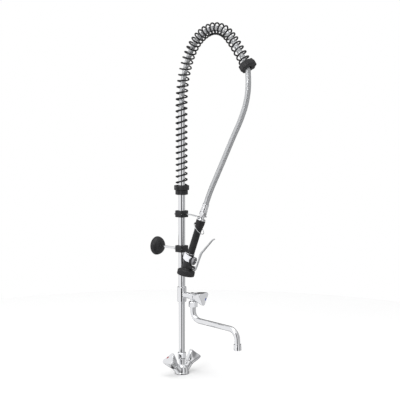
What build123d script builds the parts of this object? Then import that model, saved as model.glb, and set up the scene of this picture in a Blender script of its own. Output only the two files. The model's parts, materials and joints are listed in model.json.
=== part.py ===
"""Deck mounted pre-rinse unit: two-handle mixer, riser with a tap and swivel spout,
sprung overhead hose and a trigger spray gun hung in a fork.

Frame: millimetres, +Z up, origin on the deck at the centre of the mixer's base.
The wall is towards +Y, the user and the spout towards -Y, hot is -X and cold is +X.
"""
from build123d import *
import math
import os

os.makedirs("parts", exist_ok=True)

# ---------------------------------------------------------------- driving dimensions
FIT = 0.05             # radial running clearance of turning pieces
GASKET_T = 1.5
BASE_R = 24.0          # deck flange of the mixer
ARM_R = 12.5           # cast arms that carry the two mixer headworks
ARM_AXIS_Z = -3.0      # height where the two inclined arm axes meet the riser axis
ARM_END = 47.0         # arm length along its axis
FACE_AT = 86.0         # handle face, along the arm axis
RISER_NUT_Z = (53.0, 71.0)
LOWER_R = 10.0
UPPER_R = 11.0
WALL_T = 1.25          # wall of every bent or straight chromed tube
TEE_Z = (241.0, 291.0)
TEE_R = 15.0
TAP_Z = 265.0          # height of the horizontal tap axis
TAP_ARM_END = 60.0     # end of the tap's cast arm, in front of the riser axis
TAP_FACE = 98.5        # tap handle's face, in front of the riser axis
SPOUT_Y = -51.5        # swivel axis of the spout
SPOUT_NUT_Z = (230.0, 248.0)
SPOUT_R = 8.75
SPOUT_REACH_Y = -244.5
SPOUT_TIP_Z = 116.0
RISER_TOP_Z = 831.0
COUPLING_TOP_Z = 877.0
WALL_CLAMP_Z = 417.0
HOOK_CLAMP_Z = 532.0
CLAMP_SIDE = 33.0
CLAMP_H = 22.0
WALL_Y = 116.0         # plane of the wall behind the unit
FLANGE_R = 31.0
FOOT_Z = (595.0, 610.0, 626.0)
HOSE_R = 8.8
HOSE_BORE_R = 5.5
SPRING_R = 20.0        # outside radius of the coil spring
SPRING_SKIN = 1.1      # wall of the sleeve that holds the spring's place and mass
END_NUT_R = 27.0

# Trilobal handle: tip radius, corner rounding, small end and length
LOBE_TIP_R = 26.0
LOBE_CORNER_R = 6.5
LOBE_SMALL_R = 13.0
HANDLE_LEN = 37.0

# Hose inside the spring, in the plane X = 0, as (Y, Z) points of its tangent polygon
ARCH = [(0, 877), (0, 945), (-30.5, 1044.4), (-71.4, 1098.8), (-122.6, 1126),
        (-166.5, 1126), (-208.7, 1103.6), (-281, 1007.5)]
ARCH_EXIT = (-282.8, 987.5)
SPRING_LAST = (-276.5, 1013.5)

# Free hose, from the spring's end nut to the ferrule on the gun
FREE_HOSE = [(0, -282.8, 987.5), (0, -286.2, 949.7), (0, -277.5, 895), (0, -254, 840),
             (2, -222.5, 790), (5.5, -187, 730), (9, -152, 672), (10.6, -122, 621),
             (9.1, -108.5, 590), (6.3, -103.1, 570.9)]

# Spray gun: neck point in the fork, direction of the grip, direction of the head
GUN_TOP = Vector(0, -91, 528)
GRIP_DIR = Vector(-0.139, 0.268, -0.953).normalized()
HEAD_DIR = Vector(-0.080, 0.200, -0.977).normalized()
LEVER_SIDE = Vector(0.309, -0.951, 0)
HEAD_AT = 152.0        # where the head bends off the grip's axis
VALVE_AT = 145.0       # valve axis, along the grip's axis
PIVOT_AT = 167.0       # lever pivot, along the grip's axis
PIVOT_OFF = 27.0       # lever pivot, out from the grip's axis
LATCH_AT = 27.0
LATCH_OFF = 16.5
LATCH_TILT = 34.0

BASE = Plane.XY
HOT = Plane(origin=(0, 0, ARM_AXIS_Z), x_dir=(0, 1, 0), z_dir=(-1, 0, 1))
COLD = Plane(origin=(0, 0, ARM_AXIS_Z), x_dir=(0, -1, 0), z_dir=(1, 0, 1))
TAP = Plane(origin=(0, 0, TAP_Z), x_dir=(1, 0, 0), z_dir=(0, -1, 0))
SPOUT_AXIS = Plane(origin=(0, SPOUT_Y, 0))
TO_WALL = Plane(origin=(0, 0, WALL_CLAMP_Z), x_dir=(-1, 0, 0), z_dir=(0, 1, 0))
side = (LEVER_SIDE - GRIP_DIR * LEVER_SIDE.dot(GRIP_DIR)).normalized()
GUN = Plane(origin=GUN_TOP, x_dir=side, z_dir=GRIP_DIR)
head_side = (LEVER_SIDE - HEAD_DIR * LEVER_SIDE.dot(HEAD_DIR)).normalized()
HEAD = Plane(origin=GUN.from_local_coords(Vector(0, 0, HEAD_AT)), x_dir=head_side, z_dir=HEAD_DIR)


def save(piece, label):
    """Label a finished piece and write it to its own file."""
    piece.part.label = label
    export_step(piece.part, f"parts/{label}.step")


def ring(plane, low, high, outer, inner=0.0):
    """Draw a round bar or tube on the plane's axis, in the part being built."""
    with BuildSketch(plane.offset(low)) as section:
        Circle(outer)
        if inner:
            Circle(inner, mode=Mode.SUBTRACT)
    extrude(section.sketch, amount=high - low)


def bore(plane, low, high, radius):
    """Cut a round hole on the plane's axis, in the part being built."""
    with BuildSketch(plane.offset(low)) as section:
        Circle(radius)
    extrude(section.sketch, amount=high - low, mode=Mode.SUBTRACT)


def turned(plane, outline):
    """Revolve (radius, height) points about the plane's axis."""
    through_axis = Plane(origin=plane.origin, x_dir=plane.x_dir, z_dir=-plane.y_dir)
    with BuildSketch(through_axis) as section:
        with BuildLine():
            Polyline(*outline, close=True)
        make_face()
    revolve(section.sketch, axis=Axis(plane.origin, plane.z_dir))


def corner_radii(points):
    """Largest even radii for the corners of a route: 0.45 of the shorter run each."""
    places = [Vector(*p) for p in points]
    radii = []
    for before, here, after in zip(places, places[1:], places[2:]):
        arriving = here - before
        leaving = after - here
        turn = math.radians(arriving.get_angle(leaving))
        shorter = min(arriving.length, leaving.length)
        radii.append(0.45 * shorter / math.tan(turn / 2))
    return radii


def tube_along(points, outer, inner=0.0, radii=None):
    """Sweep a round section along straight runs joined by tangent arcs."""
    with BuildLine():
        route = FilletPolyline(*points, radius=radii or corner_radii(points))
    start = Plane(origin=route @ 0, z_dir=route % 0)
    with BuildSketch(start) as section:
        Circle(outer)
        if inner:
            Circle(inner, mode=Mode.SUBTRACT)
    sweep(section.sketch, path=route)
    return route.length


def in_arch_plane(points):
    """Points (Y, Z) of the arch as 3-D points."""
    return [(0, y, z) for y, z in points]


# ---------------------------------------------------------------- mixer base
INLET_X = 9.0
INLET_R = 4.5
STUD_Y = 12.0
STUD_R = 3.4
INLET_DEPTH = 8.0
STUD_DEPTH = 14.0
HEADWORK_R = 9.0
SET_SCREW_R = 1.6
SEAL_T = 1.6
SEAL_H = 2.0
SEAL_AT = (64.0, TEE_Z[0] + 6, TEE_Z[1] - 8)

with BuildPart() as base_gasket:
    ring(BASE, 0, GASKET_T, BASE_R - 1.0, BASE_R - 5.0)
save(base_gasket, "base_gasket")

with BuildPart() as mixer_body:
    turned(BASE, [(0, 0), (BASE_R - 5, 0), (BASE_R - 5, GASKET_T), (BASE_R, GASKET_T),
                  (BASE_R, 4), (21.5, 6.5), (21, 14), (19, 22), (14, 28), (9.5, 31),
                  (9.5, 38), (13.0, 52), (8.5, 52), (8.5, 60), (0, 60)])
    for arm in (HOT, COLD):
        ring(arm, 20, ARM_END, ARM_R)
        bore(arm, 22, ARM_END, HEADWORK_R)
        bore(arm, 18.5, 24, 2.6)
    bore(BASE, 12, 60, 6.0)
    for x in (-INLET_X, INLET_X):
        bore(Plane(origin=(x, 0, 0)), 0, INLET_DEPTH, INLET_R)
        bore(Plane(origin=(x, 0, 0)), INLET_DEPTH, STUD_DEPTH, 3.2)
    bore(Plane(origin=(0, STUD_Y, 0)), 0, STUD_DEPTH, STUD_R)
    split(bisect_by=BASE, keep=Keep.TOP)
save(mixer_body, "mixer_body")

with BuildPart() as riser_nut:
    with BuildSketch(Plane.XY.offset(RISER_NUT_Z[0])):
        RegularPolygon(14.6, 6)
    extrude(amount=RISER_NUT_Z[1] - RISER_NUT_Z[0])
    chamfer(riser_nut.edges().group_by(Axis.Z)[-1], 1.5)
    bore(BASE, RISER_NUT_Z[0], RISER_NUT_Z[1], LOWER_R)
    bore(BASE, SEAL_AT[0], SEAL_AT[0] + SEAL_H, LOWER_R + SEAL_T)
save(riser_nut, "riser_nut")

with BuildPart() as lower_riser:
    ring(BASE, 60.0, TEE_Z[0] + 14, LOWER_R, LOWER_R - WALL_T)
save(lower_riser, "lower_riser")

with BuildPart() as riser_seals:
    for height, inner in zip(SEAL_AT, (LOWER_R, LOWER_R, UPPER_R)):
        ring(BASE, height, height + SEAL_H, inner + SEAL_T, inner)
save(riser_seals, "riser_seals")


def headwork(plane, start, end, label):
    """Threaded quarter-turn cartridge: hex shoulder outside, barrel inside its arm."""
    with BuildPart() as cartridge:
        ring(plane, start, end, HEADWORK_R)
        ring(plane, end, end + 4, 10.5)
        bore(plane, start, end + 4, 4.0)
    save(cartridge, label)


def spindle(plane, start, end, label):
    """Turning spindle that carries the upper ceramic disc and the handle's drive."""
    with BuildPart() as stem:
        ring(plane, start, end - 12, 4.0 - FIT)
        with BuildSketch(plane.offset(end - 12)):
            Rectangle(5, 5)
        extrude(amount=12)
    save(stem, label)


def set_screw_axis(plane, small):
    """Plane whose normal is the set screw's axis, out through the flat opposite the first lobe."""
    centre = plane.offset(small + 14).origin
    return Plane(origin=centre, x_dir=plane.z_dir, z_dir=plane.y_dir)


def handle(plane, face, label):
    """Three-lobed handle: a flaring cone cut to a rounded triangle."""
    small = face - HANDLE_LEN
    with BuildPart() as knob:
        turned(plane, [(0, small), (LOBE_SMALL_R, small), (LOBE_SMALL_R + 1, small + 6),
                       (LOBE_TIP_R, face - 3), (LOBE_TIP_R - 1, face), (0, face)])
        with BuildSketch(plane.offset(small)) as lobes:
            RegularPolygon(LOBE_TIP_R + LOBE_CORNER_R, 3, rotation=-90)
            fillet(lobes.vertices(), LOBE_CORNER_R)
        extrude(amount=HANDLE_LEN, mode=Mode.INTERSECT)
        bore(plane, small, small + 9, 11.0)
        with BuildSketch(plane.offset(small + 9)):
            Rectangle(5, 5)
        extrude(amount=12, mode=Mode.SUBTRACT)
        bore(set_screw_axis(plane, small), 0, LOBE_TIP_R, SET_SCREW_R)
        with BuildSketch(plane.offset(face - 1.2)):
            with Locations((12 * math.cos(math.radians(30)), -12 * math.sin(math.radians(30)))):
                SlotOverall(9.0, 4.0, rotation=60)
        extrude(amount=1.2, mode=Mode.SUBTRACT)
    save(knob, label)


def index_mark(plane, face, label):
    """Coloured oblong insert near one edge of the handle's face."""
    with BuildPart() as mark:
        with BuildSketch(plane.offset(face - 1.2)):
            with Locations((12 * math.cos(math.radians(30)), -12 * math.sin(math.radians(30)))):
                SlotOverall(9.0, 4.0, rotation=60)
        extrude(amount=1.4)
    save(mark, label)


def handle_screw(plane, face, label):
    """Radial set screw that holds the handle on its spindle."""
    with BuildPart() as screw:
        ring(set_screw_axis(plane, face - HANDLE_LEN), 2.6, 12.0, SET_SCREW_R)
    save(screw, label)


for name, arm in (("hot", HOT), ("cold", COLD)):
    headwork(arm, 24, ARM_END, f"{name}_headwork")
    spindle(arm, 30, FACE_AT - 16, f"{name}_spindle")
    handle(arm, FACE_AT, f"{name}_handle")
    index_mark(arm, FACE_AT, f"{name}_index")
    handle_screw(arm, FACE_AT, f"{name}_handle_screw")

# ---------------------------------------------------------------- tee, tap and spout
with BuildPart() as tee_body:
    ring(BASE, TEE_Z[0], TEE_Z[1], TEE_R)
    chamfer(tee_body.edges(), 1.5)
    ring(TAP, 0, TAP_ARM_END, 9.5)
    ring(TAP, TAP_ARM_END - 16, TAP_ARM_END - 1, 12.5)
    ring(SPOUT_AXIS, SPOUT_NUT_Z[1] - 10, TAP_Z - 5, 8.4)
    bore(BASE, TEE_Z[0], TEE_Z[0] + 14, LOWER_R)
    bore(BASE, TEE_Z[0] + 14, TEE_Z[1] - 14, LOWER_R - 2)
    bore(BASE, TEE_Z[1] - 14, TEE_Z[1], UPPER_R)
    bore(BASE, SEAL_AT[1], SEAL_AT[1] + SEAL_H, LOWER_R + SEAL_T)
    bore(BASE, SEAL_AT[2], SEAL_AT[2] + SEAL_H, UPPER_R + SEAL_T)
    bore(TAP, 0, 30, 4.0)
    bore(TAP, 30, TAP_ARM_END, 7.5)
    bore(SPOUT_AXIS, SPOUT_NUT_Z[1] - 10, TAP_Z - 6, 6.5)
save(tee_body, "tee_body")

TAP_HEADWORK_R = 7.5
with BuildPart() as tap_headwork:
    ring(TAP, 48, TAP_ARM_END, TAP_HEADWORK_R)
    ring(TAP, TAP_ARM_END, TAP_ARM_END + 3, 9.5)
    bore(TAP, 48, TAP_ARM_END + 3, 4.0)
save(tap_headwork, "tap_headwork")
spindle(TAP, 50, TAP_FACE - 16, "tap_spindle")
handle(TAP, TAP_FACE, "tap_handle")
index_mark(TAP, TAP_FACE, "tap_index")
handle_screw(TAP, TAP_FACE, "tap_handle_screw")

SPOUT_TOP_Z = SPOUT_NUT_Z[1] - 10.5
BUSH_R = 10.4
with BuildPart() as spout_nut:
    with BuildSketch(Plane.XY.offset(SPOUT_NUT_Z[0])):
        with Locations((0, SPOUT_Y)):
            RegularPolygon(15.0, 6)
    extrude(amount=SPOUT_NUT_Z[1] - SPOUT_NUT_Z[0])
    chamfer(spout_nut.edges().group_by(Axis.Z)[0], 1.2)
    chamfer(spout_nut.edges().group_by(Axis.Z)[-1], 1.2)
    bore(SPOUT_AXIS, SPOUT_NUT_Z[0], SPOUT_NUT_Z[1], SPOUT_R + 0.35)
    bore(SPOUT_AXIS, SPOUT_NUT_Z[0] + 3, SPOUT_NUT_Z[1], BUSH_R + 0.2)
save(spout_nut, "spout_nut")

with BuildPart() as spout_bush:
    ring(SPOUT_AXIS, SPOUT_NUT_Z[0] + 3, SPOUT_TOP_Z - 0.5, BUSH_R, SPOUT_R + 0.02)
save(spout_bush, "spout_bush")

spout_tip = Vector(0, SPOUT_REACH_Y, SPOUT_TIP_Z)
spout_drop = Vector(0, -241, 179.5)
AERATOR = Plane(origin=spout_tip, x_dir=(1, 0, 0), z_dir=spout_drop - spout_tip)
spout_route = [(0, SPOUT_Y, SPOUT_TOP_Z), (0, SPOUT_Y, 188.5), spout_drop,
               AERATOR.offset(12).origin]
with BuildPart() as spout_tube:
    spout_length = tube_along(spout_route, SPOUT_R, SPOUT_R - WALL_T, radii=[31, 33])
save(spout_tube, "spout_tube")

with BuildPart() as aerator_housing:
    ring(AERATOR, 0, 19.6, 11.75)
    chamfer(aerator_housing.edges(), 1.0)
    bore(AERATOR, 0, 12, 10.0)
    bore(AERATOR, 12, 19.6, SPOUT_R)
save(aerator_housing, "aerator_housing")

with BuildPart() as aerator_insert:
    ring(AERATOR, 2, 12, 9.9)
    bore(AERATOR, 2, 6, 8.4)
    with BuildSketch(AERATOR.offset(6)) as mesh_holes:
        with PolarLocations(6.0, 10):
            Circle(0.9)
        with PolarLocations(3.0, 5):
            Circle(0.9)
    extrude(mesh_holes.sketch, amount=6, mode=Mode.SUBTRACT)
save(aerator_insert, "aerator_insert")

# ---------------------------------------------------------------- upper riser and brackets
with BuildPart() as upper_riser:
    ring(BASE, TEE_Z[1] - 14, RISER_TOP_Z, UPPER_R, UPPER_R - WALL_T)
save(upper_riser, "upper_riser")

SCREW_X = 13.9
ROD_R = 3.4
ROD_START = 13.0
WIRE_R = 2.1


def clamp_half(height, front, label, grip):
    """Half of a split plastic block that grips the riser; grip cuts its arm's hole."""
    with BuildPart() as half:
        with BuildSketch(Plane.XY.offset(height - CLAMP_H / 2)) as plan:
            Rectangle(CLAMP_SIDE, CLAMP_SIDE)
            chamfer(plan.vertices(), 3.0)
        extrude(amount=CLAMP_H)
        chamfer(half.faces().sort_by(Axis.Z)[-1].edges(), 1.2)
        chamfer(half.faces().sort_by(Axis.Z)[0].edges(), 1.2)
        bore(BASE, height - CLAMP_H, height + CLAMP_H, UPPER_R)
        for x in (-SCREW_X, SCREW_X):
            along = Plane(origin=(x, 0, height), x_dir=(1, 0, 0), z_dir=(0, 1, 0))
            bore(along, -CLAMP_SIDE, CLAMP_SIDE, 1.5)
        grip()
        cut = Plane.XZ.offset(0.25 if front else -0.25)
        split(bisect_by=cut, keep=Keep.TOP if front else Keep.BOTTOM)
    save(half, label)


def rod_hole():
    """Threaded hole of the wall rod in the rear half."""
    bore(TO_WALL, ROD_START, CLAMP_SIDE, ROD_R)


def wire_hole():
    """Hole of the fork's wire in the front half."""
    forward = Plane(origin=(0, 0, HOOK_CLAMP_Z), x_dir=(1, 0, 0), z_dir=(0, -1, 0))
    bore(forward, 12.0, CLAMP_SIDE, WIRE_R)


def no_hole():
    """Half without an arm."""


clamp_half(WALL_CLAMP_Z, True, "wall_clamp_front", no_hole)
clamp_half(WALL_CLAMP_Z, False, "wall_clamp_back", rod_hole)
clamp_half(HOOK_CLAMP_Z, True, "hook_clamp_front", wire_hole)
clamp_half(HOOK_CLAMP_Z, False, "hook_clamp_back", no_hole)

with BuildPart() as clamp_screws:
    for height in (WALL_CLAMP_Z, HOOK_CLAMP_Z):
        for x in (-SCREW_X, SCREW_X):
            along = Plane(origin=(x, 0, height), x_dir=(1, 0, 0), z_dir=(0, 1, 0))
            ring(along, -15.0, CLAMP_SIDE / 2, 1.5)
            ring(along, CLAMP_SIDE / 2, CLAMP_SIDE / 2 + 1.8, 2.6)
save(clamp_screws, "clamp_screws")

PLATE_T = 4.0
PLATE_R = 26.0
SCREW_PCD_R = 17.0
with BuildPart() as wall_plate:
    ring(TO_WALL, WALL_Y - PLATE_T, WALL_Y, PLATE_R)
    ring(TO_WALL, WALL_Y - 12, WALL_Y - PLATE_T, 7.5)
    bore(TO_WALL, WALL_Y - 12, WALL_Y - 2, ROD_R)
    for k in range(3):
        turn = math.radians(90 + 120 * k)
        spot = TO_WALL.from_local_coords(Vector(SCREW_PCD_R * math.cos(turn),
                                                SCREW_PCD_R * math.sin(turn), 0))
        bore(Plane(origin=spot, z_dir=(0, 1, 0)), WALL_Y - PLATE_T, WALL_Y, 2.25)
save(wall_plate, "wall_plate")

with BuildPart() as wall_flange:
    turned(TO_WALL, [(ROD_R, WALL_Y - 25), (7, WALL_Y - 25), (15, WALL_Y - 22.5),
                     (22, WALL_Y - 18), (28, WALL_Y - 11), (FLANGE_R, WALL_Y - 3),
                     (FLANGE_R, WALL_Y), (PLATE_R, WALL_Y), (PLATE_R, WALL_Y - 4.5),
                     (24, WALL_Y - 10), (19, WALL_Y - 16), (8, WALL_Y - 20.5),
                     (ROD_R, WALL_Y - 20.5)])
save(wall_flange, "wall_flange")

with BuildPart() as wall_rod:
    ring(TO_WALL, ROD_START, WALL_Y - 2, ROD_R)
save(wall_rod, "wall_rod")

# Fork: one wire from the hook clamp, split round the gun's neck and open to the front
FORK_R = 12.6
FORK_Z = GUN_TOP.Z
FORK_Y = GUN_TOP.Y
PRONG_LEN = 11.0
BOSS_R = 2.9
with BuildPart() as hook_wire:
    tube_along([(0, -12, HOOK_CLAMP_Z), (0, -40, HOOK_CLAMP_Z),
                (0, FORK_Y + FORK_R + 5, FORK_Z), (0, FORK_Y + FORK_R + 1, FORK_Z)],
               WIRE_R, radii=[12, 12])
    ring(Plane(origin=(0, FORK_Y + FORK_R, FORK_Z), z_dir=(0, 1, 0)), -1.6, 3.0, BOSS_R)
    with BuildSketch(Plane(origin=(FORK_R, FORK_Y, FORK_Z), z_dir=(0, 1, 0))) as wire:
        Circle(WIRE_R)
    revolve(wire.sketch, axis=Axis((0, FORK_Y, FORK_Z), (0, 0, 1)), revolution_arc=180)
    for x in (-FORK_R, FORK_R):
        ring(Plane(origin=(x, FORK_Y, FORK_Z), z_dir=(0, -1, 0)), 0, PRONG_LEN, WIRE_R)
save(hook_wire, "hook_wire")

# ---------------------------------------------------------------- spring and hose


def lobed_nut(plane, low, high, radius, lobes, hollow):
    """Moulded nut with round finger lobes about its rim."""
    with BuildSketch(plane.offset(low)) as plan:
        Circle(radius - 2.5)
        with PolarLocations(radius - 6.0, lobes):
            Circle(6.0)
        Circle(hollow, mode=Mode.SUBTRACT)
    extrude(plan.sketch, amount=high - low)


with BuildPart() as spring_foot:
    lobed_nut(BASE, FOOT_Z[1], FOOT_Z[2], 24.5, 8, UPPER_R)
    lobed_nut(BASE, FOOT_Z[0], FOOT_Z[1], 20.5, 8, UPPER_R)
    bore(BASE, FOOT_Z[1] + 4, FOOT_Z[2], SPRING_R)
save(spring_foot, "spring_foot")

with BuildPart() as hose_coupling:
    ring(BASE, RISER_TOP_Z, COUPLING_TOP_Z, 11.25)
    bore(BASE, RISER_TOP_Z, COUPLING_TOP_Z, HOSE_BORE_R)
save(hose_coupling, "hose_coupling")

# The spring is held as one sleeve section for each bend, cut square across the middle of each run
spring_corners = [Vector(*point) for point in
                  in_arch_plane([(0, FOOT_Z[1] + 4)] + ARCH[1:-1] + [SPRING_LAST])]
spring_cuts = [(a + b) * 0.5 for a, b in zip(spring_corners[1:-2], spring_corners[2:-1])]
section_starts = [spring_corners[0]] + spring_cuts
section_ends = spring_cuts + [spring_corners[-1]]
spring_bends = corner_radii([tuple(corner) for corner in spring_corners])
sleeves = []
spring_length = 0.0
for start, bend, end, radius in zip(section_starts, spring_corners[1:-1], section_ends,
                                    spring_bends):
    with BuildPart() as sleeve:
        spring_length += tube_along([tuple(start), tuple(bend), tuple(end)], SPRING_R,
                                    SPRING_R - SPRING_SKIN, radii=[radius])
    sleeves.append(sleeve.part.solid())
spring = Compound(sleeves, label="spring")
export_step(spring, "parts/spring.step")

hose_route = in_arch_plane(ARCH + [ARCH_EXIT])
with BuildPart() as sprung_hose:
    sprung_length = tube_along(hose_route, HOSE_R, HOSE_BORE_R)
save(sprung_hose, "sprung_hose")

last_run = Vector(0, ARCH[-1][0] - ARCH[-2][0], ARCH[-1][1] - ARCH[-2][1]).normalized()
END_NUT = Plane(origin=(0, ARCH[-1][0], ARCH[-1][1]), x_dir=(1, 0, 0), z_dir=last_run)
with BuildPart() as spring_end_nut:
    lobed_nut(END_NUT, -10, 10, END_NUT_R, 8, 15.8)
    bore(END_NUT, -10, -4, SPRING_R)
save(spring_end_nut, "spring_end_nut")

with BuildPart() as free_hose:
    free_length = tube_along(FREE_HOSE, HOSE_R, HOSE_BORE_R)
save(free_hose, "free_hose")
print("free hose radii", [round(radius) for radius in corner_radii(FREE_HOSE)])
print("spring sleeve length", round(spring_length, 1))
section_area = math.pi * (HOSE_R ** 2 - HOSE_BORE_R ** 2)
print("free hose length", round(free_length, 1), "from volume",
      round(free_hose.part.volume / section_area, 1))
print("sprung hose length", round(sprung_length, 1), "from volume",
      round(sprung_hose.part.volume / section_area, 1))

# ---------------------------------------------------------------- spray gun
NECK_R = 8.0
NECK_SPAN = (-6.6, 7.0)
GRIP_R = 11.6
GRIP_TOP = 11.0
GRIP_END = 127.0
CORE_R = 7.0
BODY_R = 16.0
BODY_OFF = 3.5         # body axis, off the grip's axis on the side away from the lever
HEAD_NECK_R = 14.5
NECK_LEN = 21.5

with BuildPart() as hose_ferrule:
    ring(GUN, -45, -16.3, 10.4)
    ring(GUN, -24, -19, 11.2)
    bore(GUN, -45, -16.3, HOSE_BORE_R)
save(hose_ferrule, "hose_ferrule")

with BuildPart() as swivel_nut:
    with BuildSketch(GUN.offset(-16)) as hexagon:
        RegularPolygon(12.4, 6)
    extrude(hexagon.sketch, amount=NECK_SPAN[0] + 16)
    chamfer(swivel_nut.edges(), 0.8)
    bore(GUN, -16, NECK_SPAN[0], CORE_R)
save(swivel_nut, "swivel_nut")

# The collar is a plain neck for the fork to hold and a wider flange that stops the grip
with BuildPart() as collar_neck:
    ring(GUN, NECK_SPAN[0] + 0.3, NECK_SPAN[1], NECK_R, CORE_R)
with BuildPart() as collar_flange:
    turned(GUN, [(CORE_R, NECK_SPAN[1]), (13.2, NECK_SPAN[1]), (14, NECK_SPAN[1] + 0.8),
                 (14, GRIP_TOP), (CORE_R, GRIP_TOP)])
gun_collar = Compound([collar_neck.part.solid(), collar_flange.part.solid()], label="gun_collar")
export_step(gun_collar, "parts/gun_collar.step")

with BuildPart() as gun_tube:
    ring(GUN, -6, 120, CORE_R, CORE_R - 1.5)
save(gun_tube, "gun_tube")

with BuildPart() as gun_grip:
    turned(GUN, [(CORE_R, GRIP_TOP), (14.5, GRIP_TOP), (15, GRIP_TOP + 2), (14.8, 24),
                 (12.6, 38), (GRIP_R, 50), (GRIP_R, GRIP_END), (CORE_R, GRIP_END)])
    lug = GUN.offset(LATCH_AT)
    with BuildSketch(lug.offset(-3)) as lug_plan:
        with Locations((-LATCH_OFF + 1, 0)):
            Rectangle(6, 7)
    extrude(lug_plan.sketch, amount=6)
    bore(Plane(origin=lug.from_local_coords(Vector(-LATCH_OFF, 0, 0)), x_dir=GUN.x_dir,
               z_dir=GUN.y_dir), -5, 5, 1.45)
    bore(GUN, GRIP_TOP, 40, CORE_R)
save(gun_grip, "gun_grip")

BODY = Plane(origin=GUN.from_local_coords(Vector(-BODY_OFF, 0, 0)), x_dir=GUN.x_dir,
             z_dir=GUN.z_dir)
VALVE = Plane(origin=GUN.from_local_coords(Vector(0, 0, VALVE_AT)), x_dir=GUN.z_dir,
              z_dir=GUN.x_dir)
PIVOT = Plane(origin=GUN.from_local_coords(Vector(PIVOT_OFF, 0, PIVOT_AT)), x_dir=GUN.x_dir,
              z_dir=GUN.y_dir)
CAP_START = 14.6
CAP_END = 23.5
CAP_R = 13.0
STEM_R = 2.5
EAR_IN = 5.2
EAR_OUT = 8.2
PIN_R = 1.6

with BuildPart() as gun_body:
    ring(BODY, GRIP_END, HEAD_AT, BODY_R)
    ring(GUN, 120, GRIP_END, CORE_R)
    ring(VALVE, 0, CAP_START + 4, 11.0)
    with BuildSketch(PIVOT.offset(-EAR_OUT)) as ear:
        with Locations((-9, 0)):
            Rectangle(18, 9)
        Circle(4.5)
    extrude(ear.sketch, amount=2 * EAR_OUT)
    with BuildSketch(PIVOT.offset(-EAR_IN)) as slot:
        with Locations((4, 0)):
            Rectangle(19, 24)
    extrude(slot.sketch, amount=2 * EAR_IN, mode=Mode.SUBTRACT)
    with BuildSketch(HEAD) as head_top:
        with Locations((-1.5, 0)):
            Circle(HEAD_NECK_R + 0.5)
    extrude(head_top.sketch, amount=NECK_LEN)
    bore(VALVE, 2, CAP_START + 4, 8.0)
    bore(PIVOT, -EAR_OUT, EAR_OUT, PIN_R)
    bore(GUN, 120, HEAD_AT, 5.0)
    bore(HEAD, -6, NECK_LEN, 6.0)
    split(bisect_by=HEAD.offset(NECK_LEN), keep=Keep.BOTTOM)
save(gun_body, "gun_body")

with BuildPart() as trim_ring:
    ring(BODY, GRIP_END - 2.0, GRIP_END, BODY_R)
    bore(GUN, GRIP_END - 2.0, GRIP_END, GRIP_R)
save(trim_ring, "trim_ring")

BAND_T = 0.8
BAND_W = 20.0
BAND_MID = 141.0
with BuildPart() as label_band:
    ring(BODY, GRIP_END + 1, HEAD_AT - 0.5, BODY_R + BAND_T, BODY_R)
    slant = Plane(origin=GUN.from_local_coords(Vector(0, 0, BAND_MID)), x_dir=GUN.y_dir,
                  z_dir=GUN.z_dir - GUN.x_dir * 0.3)
    with BuildSketch(slant.offset(-BAND_W / 2)) as slab:
        Circle(40)
    extrude(slab.sketch, amount=BAND_W, mode=Mode.INTERSECT)
    bore(VALVE, 0, 30, CAP_R + 0.3)
save(label_band, "label_band")

with BuildPart() as valve_cap:
    turned(VALVE, [(STEM_R + FIT, CAP_START + 4), (11, CAP_START + 4), (11, CAP_START),
                   (CAP_R, CAP_START), (CAP_R, CAP_END - 1.2), (CAP_R - 1.2, CAP_END),
                   (5, CAP_END), (5, CAP_END + 2), (STEM_R + FIT, CAP_END + 2)])
save(valve_cap, "valve_cap")

STEM_TIP = 32.7
FLANGE_AT = 12.0
with BuildPart() as valve_stem:
    ring(VALVE, 3.0, STEM_TIP, STEM_R)
    ring(VALVE, FLANGE_AT, FLANGE_AT + 1.5, 6.5)
save(valve_stem, "valve_stem")

with BuildPart() as valve_spring:
    with BuildLine():
        coil = Helix(pitch=2.4, height=8.4, radius=5.6)
    with BuildSketch(Plane(origin=coil @ 0, z_dir=coil % 0)) as wire:
        Circle(0.5)
    sweep(wire.sketch, path=coil, is_frenet=True)
valve_spring.part.locate(VALVE.offset(2.8).location)
save(valve_spring, "valve_spring")

# Lever: bent strip, traced in the plane of the grip's axis and the valve's axis
LEVER_HALF_W = 4.9
LEVER_T = 2.2
LEVER_PLANE = Plane(origin=GUN.origin, x_dir=GUN.x_dir, z_dir=GUN.y_dir)
LEVER_BENDS = [(31.5, -175), (34.0, -160), (34.6, -137), (36.5, -112), (59, -58), (65, -51)]
with BuildPart() as lever:
    with BuildSketch(LEVER_PLANE.offset(-LEVER_HALF_W)) as strip:
        with BuildLine():
            FilletPolyline(*LEVER_BENDS, radius=[8, 40, 25, 6])
        trace(line_width=LEVER_T)
    extrude(strip.sketch, amount=2 * LEVER_HALF_W)
    with BuildSketch(PIVOT.offset(-LEVER_HALF_W)) as boss:
        Circle(3.6)
        with Locations((3.6, 0)):
            Rectangle(7.2, 7.2)
    extrude(boss.sketch, amount=2 * LEVER_HALF_W)
    bore(PIVOT, -LEVER_HALF_W, LEVER_HALF_W, PIN_R + FIT)
save(lever, "lever")

with BuildPart() as pivot_pin:
    ring(PIVOT, -EAR_OUT - 0.8, EAR_OUT + 0.8, PIN_R)
save(pivot_pin, "pivot_pin")

LATCH_R = 22.0
LATCH_WIRE = 1.1
tilt = math.radians(LATCH_TILT)
hinge_spot = GUN.from_local_coords(Vector(-LATCH_OFF, 0, LATCH_AT))
outward = GUN.x_dir * math.cos(tilt) + GUN.z_dir * math.sin(tilt)
ring_normal = outward.cross(GUN.y_dir)
with BuildPart() as latch_ring:
    with BuildSketch(Plane(origin=hinge_spot, x_dir=outward, z_dir=GUN.y_dir)) as wire:
        Circle(LATCH_WIRE)
    revolve(wire.sketch, axis=Axis(hinge_spot + outward * LATCH_R, ring_normal))
save(latch_ring, "latch_ring")

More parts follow.
